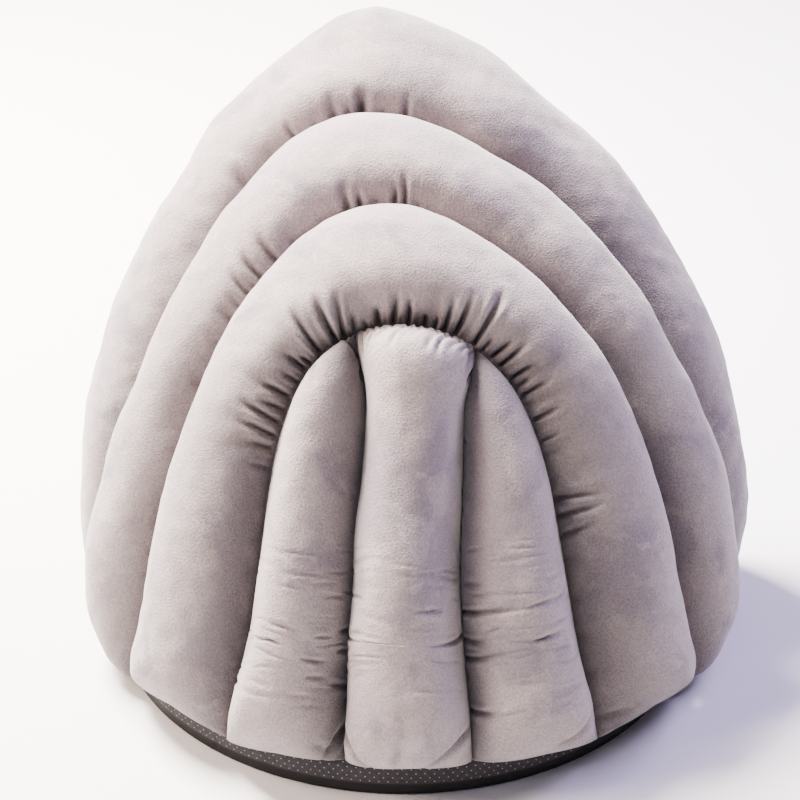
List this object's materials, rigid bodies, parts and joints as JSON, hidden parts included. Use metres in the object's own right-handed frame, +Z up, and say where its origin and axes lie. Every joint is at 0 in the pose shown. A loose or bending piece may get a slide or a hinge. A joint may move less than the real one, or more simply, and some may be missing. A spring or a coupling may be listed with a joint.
{
  "type": "shell-shaped pet cave bed",
  "caption": "Shell-shaped soft pet cave: stuffed velvet arches rise round a channelled back panel on a padded non-slip base, open at the front.",
  "frame": {"origin": "middle of the circle on which the arches stand, on the floor", "axes": "+Z up, +Y out of the mouth, +X across to the right as seen from behind"},
  "size_m": [0.4185, 0.3726, 0.3424],
  "materials": {
    "velvet": "short pile, taupe grey",
    "non_slip_cloth": "matt black woven cloth with small grip dots"
  },
  "bodies": {
    "root": {"rim_arch": "velvet", "middle_arch": "velvet", "inner_arch": "velvet", "left_channel": "velvet", "centre_channel": "velvet", "right_channel": "velvet", "base_pad": "non_slip_cloth"}
  },
  "joints": []
}
